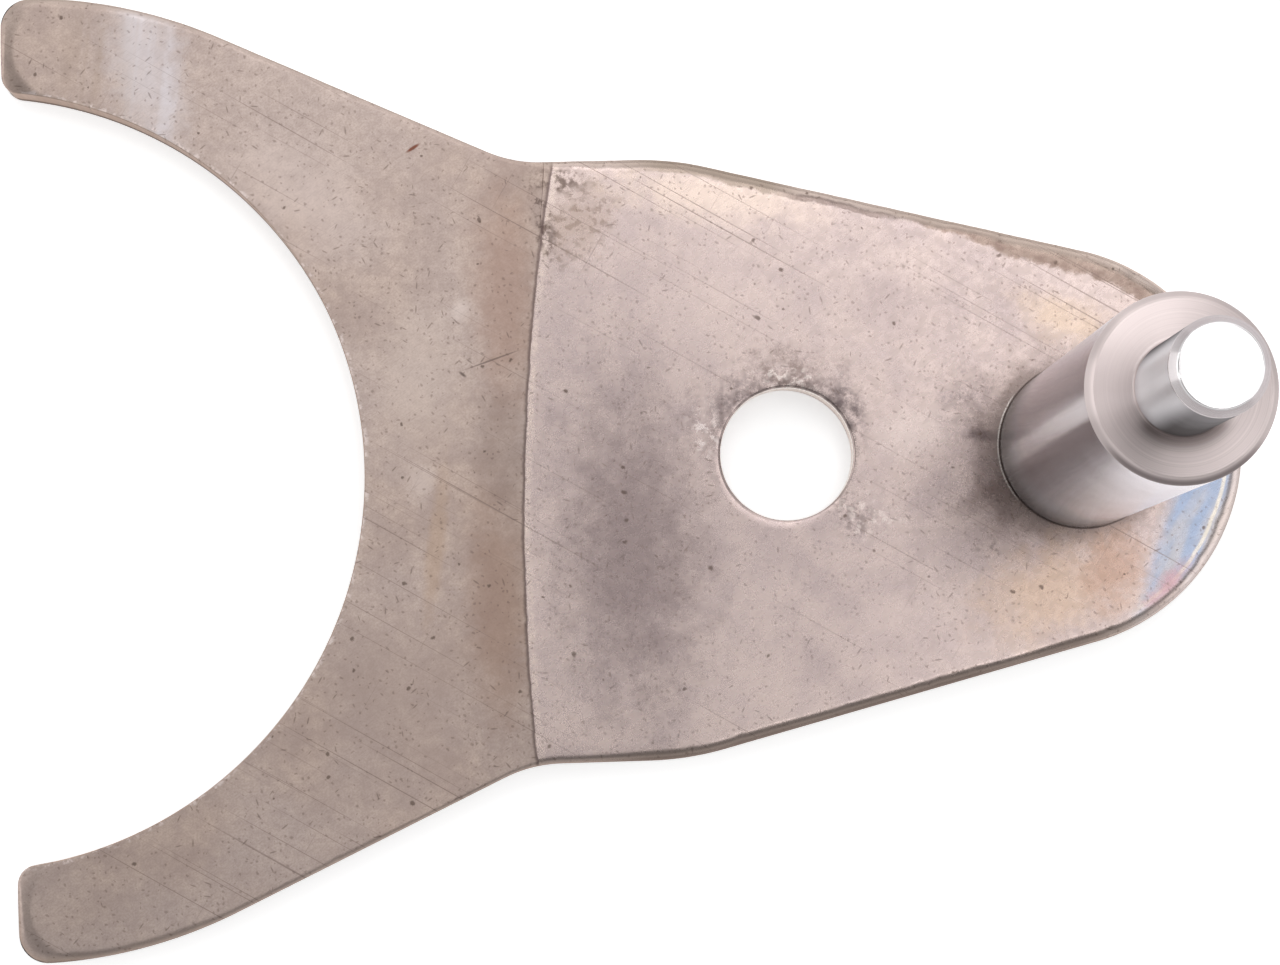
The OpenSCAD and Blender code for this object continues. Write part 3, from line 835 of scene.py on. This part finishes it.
for name, x, y, half_x, half_y, turn_deg, blur, rag, shade, strength, where in plate_marks:
    patch = nodes.use("soft_patch", Place=sheet, **slant(turn_deg, half_x, half_y, x, y), Soft=blur,
                      Tear=front_tear, Rag=rag * 2, Strength=strength)
    mark = nodes.times(patch, where_masks[where])
    nodes.paint(shade, mark)
    if name == "polished_band":
        rough = nodes.minus(rough, nodes.times(mark, POLISH))
print(len(plate_marks), "marks on the plate")

# %% [markdown]
# ## Plate steel: blue heat tint
# Farthest from the heat's middle the oxide film is thickest and turns blue, with a purple border.
# It is bounded by a slanting line at the pin end, streaked, and worn off to cream along the edge.

# %% Plate steel: blue and purple
blue_side = nodes.plus(nodes.vector("DOT_PRODUCT", flat, (0.956, -0.293, 0.0)), nodes.times(ragged, 1.5))
in_blue = nodes.times(nodes.ramp(blue_side, 26.9, 28.5), nodes.ramp(along_y, 2.0, -1.0),
                      nodes.ramp(height, 0.6, 1.2))
streak = nodes.use("scratches", Place=bent, **slant(62, 6.0, 1.7), Low=0.36, High=0.66)
nodes.paint(nodes.tint((136, 154, 180), (164, 166, 174), streak), in_blue, 0.85)
nodes.paint((222, 210, 190), in_blue, nodes.ramp(edge, 0.32, 0.16), nodes.ramp(edge, -0.1, 0.05), 0.6)
purple = nodes.use("soft_patch", Place=sheet, **slant(48, 3.4, 1.2, 27.4, -10.4), Soft=0.9, Tear=ragged,
                   Rag=1.4, Strength=0.88)
nodes.paint((176, 142, 148), purple)
print("plate steel, with heat tint:", len(nodes.tree.nodes), "nodes")

# %% [markdown]
# ## Plate steel: seam and lip
# Where the pin meets the plate there is a thin dark seam, with a painted highlight, a bright line beside it
# towards -X.
# The lip of the ground pad has a dark line along its foot and a bright line of worn burr on it.

# %% Plate steel: seam round the pin, and lip
nodes.paint((70, 58, 55), nodes.ramp(from_pin, PIN_R + 0.13, PIN_R + 0.07), 0.8)
# painted highlight: a bright line beside the seam, only towards -X
nodes.paint((244, 238, 232), nodes.ramp(from_pin, PIN_R + 0.24, PIN_R + 0.17),
            nodes.ramp(from_pin, PIN_R + 0.09, PIN_R + 0.14),
            nodes.ramp(along_x, PIN_X - 4.6, PIN_X - 5.4), 0.6)
lip_wobble = nodes.plus(past_lip, nodes.times(ragged, 0.5))
# a dark line along the lip's foot, on the fork side
nodes.paint((96, 80, 78), nodes.ramp(lip_wobble, -0.06, 0.03), nodes.ramp(lip_wobble, 0.3, 0.06), 0.7)
nodes.paint((222, 204, 192), nodes.ramp(lip_wobble, -0.7, -0.3), nodes.ramp(lip_wobble, 0.0, -0.15),
            broken, 0.5)
print("plate steel, with seam and lip:", len(nodes.tree.nodes), "nodes")

# %% [markdown]
# ## Plate steel: rolled edge
# The roll keeps the darker skin of the sheet, with painted shade on its lower side and along its outer
# lower edge, and a painted highlight towards the pin end. On the upper side towards the pin a band
# inside it was never ground, and a brown line borders that band. Further from the pin come a thin line,
# then olive.

# %% Plate steel: edge bands
band_wide = nodes.plus(nodes.ramp(along_x, 8.0, 20.0, -0.3, 0.8), nodes.times(ragged, 1.5))
band_depth = nodes.minus(edge, band_wide)
upper_side = nodes.times(nodes.ramp(along_x, 6.0, 12.0), nodes.ramp(along_y, 5.0, 9.0))
unground = nodes.times(nodes.ramp(band_depth, 0.16, -0.2), upper_side)
nodes.paint((158, 139, 126), unground, 0.8)
nodes.paint((122, 101, 94), nodes.ramp(band_depth, -1.1, -0.45), unground,
            nodes.ramp(broken, 0.0, 1.0, 0.4, 1.0), 0.7)
lower_half = nodes.ramp(along_y, 3.0, -3.0)
# the roll's skin colour, with painted shade on the lower side and a painted highlight towards the pin end
roll_skin_and_painted_light = nodes.tint((166, 151, 142), (150, 134, 124), lower_half)
roll_skin_and_painted_light = nodes.tint(roll_skin_and_painted_light, (206, 190, 182), nodes.ramp(along_x, 20.0, 28.0))
nodes.paint(roll_skin_and_painted_light, nodes.ramp(edge, 0.0, -0.6), 0.8)
# painted shade: a dark band on the outer lower roll, fading towards the pin end
nodes.paint((84, 71, 66), nodes.ramp(edge, -0.5, -0.95), lower_half,
            nodes.ramp(along_x, 12.0, 27.0, 0.75, 0.1))
above = nodes.ramp(along_y, 9.0, 12.0)
olive_depth = nodes.plus(edge, nodes.times(ragged, 0.8))
nodes.paint((136, 122, 110), above, nodes.ramp(along_x, -12.5, -8.0), nodes.ramp(along_x, 2.0, -1.0),
            nodes.ramp(olive_depth, 0.15, -0.1), 0.75)
nodes.paint((108, 92, 86), above, nodes.ramp(along_x, -0.5, 1.5), nodes.ramp(along_x, 9.5, 6.5),
            nodes.ramp(olive_depth, 0.1, -0.05), nodes.ramp(olive_depth, -0.5, -0.3), 0.65)
print("plate steel, with edge bands:", len(nodes.tree.nodes), "nodes")

# %% [markdown]
# ## Plate steel: walls, mouth and hole
# A blanked wall has two zones: a smooth sheared one above and a torn, darker one below. The mouth's
# wall was machined and is worn bright on its edge. The hole has dirt on its rim, and its burnished
# wall is painted near white, partly as a painted reflection of the white paper below.

# %% Plate steel: walls, mouth and hole
wall = nodes.times(nodes.ramp(edge, -0.9, -1.5), nodes.ramp(edge, -5.6, -4.9))
sheared = nodes.times(wall, nodes.ramp(from_mouth, 0.1, 0.3))
nodes.paint((152, 146, 143), sheared, 0.85)
nodes.paint((110, 103, 100), sheared, nodes.ramp(nodes.plus(height, ragged), 2.3, 1.8, 0.0, 0.6))
worn_edge = nodes.ramp(nodes.plus(from_mouth, nodes.times(ragged, 0.8)), 0.42, 0.1)
nodes.paint((216, 202, 198), worn_edge, on_fork, clots, 0.8)
nodes.paint((86, 75, 76), nodes.ramp(from_hole, HOLE_R + 1.9, HOLE_R + 0.2), nodes.ramp(along_y, -1.0, 3.0),
            crisp, nodes.ramp(height, 1.2, 3.0, 0.0, 0.42))
# painted reflection: the hole's burnished wall painted near white, as the paper below would show in it
nodes.paint((250, 247, 244), nodes.ramp(from_hole, HOLE_R + 0.07, HOLE_R + 0.02), 0.95)
mouth_wall = nodes.times(nodes.ramp(from_mouth, 0.1, 0.04), on_fork)
nodes.paint((178, 158, 146), mouth_wall, 0.85)
nodes.paint((70, 57, 51), mouth_wall, nodes.ramp(height, 1.3, 0.7, 0.0, 0.85))
print("plate steel, with walls:", len(nodes.tree.nodes), "nodes")

# %% [markdown]
# ## Plate steel: scratches and specks on top
# Last come the marks that lie over everything else on the faces; walls and hole stay free of them.
# The long scratches are cut in, so they are the one thing that bends the light as well.

# %% Plate steel: last marks, and the shader
on_face = nodes.times(nodes.minus(1.0, wall), nodes.ramp(from_hole, HOLE_R + 0.2, HOLE_R + 0.32))
nodes.paint((100, 82, 74), dots, on_face, 0.4)
nodes.paint((96, 80, 72), strokes, on_face, 0.5)
nodes.paint((88, 72, 64), pits, on_face, 0.75)
nodes.paint((120, 104, 98), hair, on_face, 0.6)
nodes.paint((126, 110, 104), hair_across, on_face, 0.4)
nodes.paint((140, 124, 118), brush_across, 0.22)
bump = nodes.put("Bump", {"Strength": 0.06, "Distance": 0.00002, "Height": nodes.minus(1.0, hair)})
nodes.plug(shader["Base Color"], nodes.colour)
nodes.plug(shader["Roughness"], rough)
nodes.plug(shader["Normal"], bump[0])
nodes.plug(shader["Metallic"], 1.0)
nodes.plug(shader["Specular Tint"], (0.75, 0.66, 0.61, 1.0))
plate.data.materials.append(steel)
print("plate steel:", len(nodes.tree.nodes), "nodes")

# %% [markdown]
# ## Pin steel: where things are
# The pin was ground round and its shoulder and top were turned, so the marks run in circles: fine
# lines round the side, rings on the flat faces. Both come from noise that is read by radius and
# height only. Which way the side faces, from -1 to 1, is the place along a direction over the radius.

# %% Pin steel: places and rings
pin_steel, nodes, shader = new_material("pin_ground_steel")
spot = nodes.vector("MULTIPLY", nodes.put("TexCoord")["Object"], (1000.0, 1000.0, 1000.0))
from_axis = nodes.vector("SUBTRACT", spot, (PIN_X, 0.0, 0.0))
px, py, pz = nodes.put("SeparateXYZ", {0: from_axis})
radius = nodes.vector("LENGTH", nodes.put("CombineXYZ", {0: px, 1: py})[0])
ring_place = nodes.put("CombineXYZ", {0: nodes.times(radius, 5.0), 1: nodes.times(pz, 9.0)})[0]
rings = nodes.noise(ring_place, 1.0, 5.0, 0.7)
ring_mask = nodes.ramp(rings, 0.3, 0.7)
smudge = nodes.use("mottle", Place=from_axis, Size=4.0, Low=0.35, High=0.7)
off_axis = nodes.calc("MAXIMUM", radius, 0.1)
facing_low = nodes.over(nodes.vector("DOT_PRODUCT", from_axis, (-0.208, -0.978, 0.0)), off_axis)
facing_lamp = nodes.over(nodes.vector("DOT_PRODUCT", from_axis, (-0.985, -0.174, 0.0)), off_axis)
facing_left = nodes.over(nodes.vector("DOT_PRODUCT", from_axis, (-0.995, -0.1, 0.0)), off_axis)
shade_side = nodes.ramp(nodes.over(nodes.times(py, -1.0), off_axis), 0.4, 0.85)
on_shoulder = nodes.times(nodes.ramp(pz, shoulder_z - 0.7, shoulder_z - 0.4),
                          nodes.ramp(pz, shoulder_z + 0.4, shoulder_z + 0.2))
on_chamfer = nodes.times(on_shoulder, nodes.ramp(radius, PIN_R - 0.5, PIN_R - 0.15))
on_spigot = nodes.ramp(pz, shoulder_z + 0.1, shoulder_z + 0.35)
on_top = nodes.ramp(pz, spigot_z - 0.12, spigot_z - 0.04)
spigot_edge = nodes.times(nodes.ramp(pz, spigot_z - 0.8, spigot_z - 0.5), nodes.minus(1.0, on_top))
print("pin steel, places:", len(nodes.tree.nodes), "nodes")

# %% [markdown]
# ## Pin steel: side and shoulder
# The ground side is bright, with a painted highlight where it faces -Y and a thin painted glint stripe
# on the side towards -X. It is painted darker towards the foot, partly dirt and partly painted shade.
# The shoulder is duller, with turned rings; it carries painted shade towards -Y and a painted highlight
# towards -X, and its chamfer has painted shade where it faces -Y.

# %% Pin steel: side and shoulder
foot_dirt_and_shade = nodes.ramp(nodes.plus(pz, nodes.times(smudge, 2.0)), THICK + 15.0, THICK + 1.5)
nodes.colour = nodes.tint((208, 203, 207), (190, 183, 187), ring_mask)
# painted highlight: near white where the side faces -Y
nodes.paint((240, 236, 240), nodes.ramp(facing_low, 0.6, 0.92), 0.85)
nodes.paint((180, 168, 168), smudge, 0.3)
# painted highlight: a thin near-white glint stripe on the side towards -X
nodes.paint((252, 250, 252), nodes.ramp(facing_lamp, 0.988, 0.998), 0.8)
# darker towards the foot: partly dirt, partly painted shade
nodes.paint((60, 52, 50), foot_dirt_and_shade, 0.9)
# the shoulder painted darker towards -Y: painted shade
shoulder_colour_and_shade = nodes.tint((198, 184, 182), (176, 163, 161), nodes.ramp(py, 2.0, -3.0))
nodes.paint(shoulder_colour_and_shade, on_shoulder, 0.9)
nodes.paint((222, 210, 208), on_shoulder, ring_mask, 0.8)
# painted highlight on the shoulder towards -X
nodes.paint((232, 218, 216), on_shoulder, nodes.ramp(px, -1.5, -5.0, 0.0, 0.6))
# painted shade on the chamfer where it faces -Y
nodes.paint((104, 94, 94), on_chamfer, nodes.ramp(shade_side, 0.0, 1.0, 0.3, 0.85))
print("pin steel, with side and shoulder:", len(nodes.tree.nodes), "nodes")

# %% [markdown]
# ## Pin steel: spigot
# The spigot carries a dark skin of dirt and oil with painted shade in it, thicker towards its foot.
# Towards -X the skin thins and a near-white painted highlight runs up the side. On the shoulder a ring
# of painted shade lies round the spigot's foot, darkest towards -Y. The spigot's top and edge were
# turned and stay bright. The skin, its painted shade and the darkening at the pin's foot are no metal,
# so they take the metal's mirror away and leave a dull dark surface.

# %% Pin steel: spigot, and the shader
# painted shade: a dark ring on the shoulder round the spigot's foot, darkest towards -Y
spigot_foot_painted_shade = nodes.times(on_shoulder, nodes.ramp(radius, SPIGOT_R + 1.3, SPIGOT_R + 0.15))
# painted highlight: a near-white band up the spigot's side towards -X
nodes.paint((250, 247, 249), on_spigot, nodes.ramp(facing_left, 0.6, 1.0), 0.9)
nodes.paint((96, 84, 82), spigot_foot_painted_shade, nodes.ramp(shade_side, 0.0, 1.0, 0.05, 0.8))
nodes.paint((170, 160, 159), spigot_edge, 0.6)
nodes.paint((236, 233, 234), on_top, 0.9)
# the dark skin thins towards -X, where the painted highlight runs
thinned_for_highlight = nodes.ramp(facing_left, 0.5, 1.0, 1.0, 0.2)
skin_height = nodes.plus(pz, nodes.times(smudge, 3.0))
skin_and_shade_by_height = nodes.ramp(skin_height, spigot_z + 2.0, shoulder_z + 4.0, 0.7, 0.97)
off_edge = nodes.minus(1.0, nodes.calc("MAXIMUM", on_top, spigot_edge))
# a dark skin with painted shade in it, darker towards the spigot's foot
spigot_skin_and_shade = nodes.times(on_spigot, thinned_for_highlight, skin_and_shade_by_height, off_edge)
nodes.paint((62, 56, 55), spigot_skin_and_shade)
dark_film_and_shade = nodes.calc("MAXIMUM", nodes.times(foot_dirt_and_shade, 0.9), spigot_skin_and_shade)
rough = nodes.plus(nodes.ramp(rings, 0.3, 0.7, 0.18, 0.25), nodes.times(on_shoulder, 0.14))
rough = nodes.plus(rough, nodes.times(spigot_skin_and_shade, 0.65))
ring_height = nodes.times(rings, nodes.minus(1.0, on_top))
bump = nodes.put("Bump", {"Strength": 0.2, "Distance": 0.000012, "Height": ring_height})
nodes.plug(shader["Base Color"], nodes.colour)
nodes.plug(shader["Metallic"], nodes.minus(0.98, dark_film_and_shade))
nodes.plug(shader["Roughness"], nodes.minus(rough, nodes.times(on_top, 0.13)))
nodes.plug(shader["Normal"], bump[0])
nodes.plug(shader["Specular Tint"], (0.86, 0.84, 0.85, 1.0))
nodes.plug(shader["Anisotropic"], 0.85)
nodes.plug(shader["Anisotropic Rotation"], 0.25)
pin.data.materials.append(pin_steel)
print("pin steel:", len(nodes.tree.nodes), "nodes")

# %% [markdown]
# ## Floor
# A sheet of white paper just below the part. It takes the soft shadow, and adds a little white of
# its own for the camera and for reflections, so that it looks as white as paper under a bright lamp.

# %% Floor
FLOOR_HALF, FLOOR_Z, FLOOR_GLOW = 2.0, -0.02 * MM, 0.5
floor_mesh = bpy.data.meshes.new("floor")
floor_corners = [(x * FLOOR_HALF, y * FLOOR_HALF, FLOOR_Z) for x, y in ((-1, -1), (1, -1), (1, 1), (-1, 1))]
floor_mesh.from_pydata(floor_corners, [], [(0, 1, 2, 3)])
floor = bpy.data.objects.new("floor", floor_mesh)
bpy.context.scene.collection.objects.link(floor)
paper, nodes, shader = new_material("white_paper")
rays = nodes.put("LightPath")
mirrored = nodes.calc("MAXIMUM", rays["Is Glossy Ray"], rays["Is Transmission Ray"])
seen = nodes.calc("MAXIMUM", rays["Is Camera Ray"], mirrored)
nodes.plug(shader["Base Color"], (0.9, 0.9, 0.9, 1))
nodes.plug(shader["Roughness"], 0.8)
nodes.plug(shader["Specular IOR Level"], 0.0)
nodes.plug(shader["Emission Color"], (1, 1, 1, 1))
nodes.plug(shader["Emission Strength"], nodes.times(seen, FLOOR_GLOW))
floor_mesh.materials.append(paper)
print("floor", 2 * FLOOR_HALF, "m wide")

# %% [markdown]
# ## Lamps and room
# Steel shows what it reflects. Five small softboxes overhead are what the flat faces mirror, and so
# each brightens one stretch of the plate. Three large ones stand behind and at the sides for the pin.
# The room is bright low down and dim overhead, where only the softboxes should show.

# %% Lamps and room
def softbox(name, at, size_x, size_y, level, aim=None):
    """A rectangular lamp that looks straight down, or at its aim. Level is the brightness of its face,
    so its power is pi times its area times that."""
    lamp = bpy.data.lights.new(name, "AREA")
    lamp.shape = "RECTANGLE"
    lamp.size, lamp.size_y = size_x, size_y
    lamp.energy = math.pi * size_x * size_y * level
    ob = bpy.data.objects.new(name, lamp)
    ob.location = at
    way = Vector(aim or (at[0], at[1], 0.0)) - Vector(at)
    ob.rotation_euler = way.to_track_quat("-Z", "Y").to_euler()
    bpy.context.scene.collection.objects.link(ob)
    return ob


PART_MIDDLE = (0.0, 0.0, 0.05)
lamps = [softbox("top_right", (0.30, -0.03, 0.96), 0.40, 0.44, 1.6),
         softbox("top_rear_left", (-0.16, 0.36, 0.95), 0.36, 0.40, 1.4),
         softbox("top_rear", (0.11, 0.34, 0.95), 0.18, 0.40, 2.3),
         softbox("strip_left", (-0.15, 0.02, 0.95), 0.20, 0.03, 8.0),
         softbox("low_right", (0.15, -0.20, 0.95), 0.20, 0.12, 1.7),
         softbox("rear", (0.0, 1.1, 0.9), 1.6, 1.5, 0.9, PART_MIDDLE),
         softbox("left", (-1.2, 0.15, 0.6), 1.0, 1.0, 0.7, PART_MIDDLE),
         softbox("right", (1.15, -0.35, 0.6), 1.0, 1.0, 0.9, PART_MIDDLE)]
world = bpy.data.worlds.new("studio")
bpy.context.scene.world = world
world.use_nodes = True
room = Nodes(world.node_tree)
room_light = world.node_tree.nodes["Background"].inputs
upward = room.put("SeparateXYZ", {0: room.put("TexCoord")["Generated"]})[2]
room.plug(room_light["Color"], (1, 1, 1, 1))
room.plug(room_light["Strength"], room.ramp(upward, 0.5, 0.8, 0.8, 0.27))
bpy.context.scene.view_settings.view_transform = "Standard"
print(len(lamps), "softboxes")

# %% [markdown]
# ## Camera
# It stands nearly straight above the part. Its place, aim, roll and lens were found by fitting them
# to the pin's circles, the hole and the outline.

# %% Camera
CAMERA_AT = np.array([-18.224, -21.128, 287.477]) * MM
CAMERA_AIM = np.array([-10.7057, -1.7575, 4.0]) * MM
CAMERA_ROLL = math.radians(1.8)
back = (CAMERA_AT - CAMERA_AIM) / np.linalg.norm(CAMERA_AT - CAMERA_AIM)
right = np.cross([math.sin(CAMERA_ROLL), math.cos(CAMERA_ROLL), 0.0], back)
right /= np.linalg.norm(right)
placed = np.eye(4)
placed[:3] = np.stack([right, np.cross(back, right), back, CAMERA_AT], 1)
camera_data = bpy.data.cameras.new("camera")
camera_data.sensor_width = 36
camera_data.lens = 110.49
camera_data.clip_start = 0.01
camera = bpy.data.objects.new("camera", camera_data)
camera.matrix_world = Matrix(placed.tolist())
bpy.context.scene.collection.objects.link(camera)
bpy.context.scene.camera = camera
print("camera", round(float(np.linalg.norm(CAMERA_AT - CAMERA_AIM)), 3), "m from its aim")
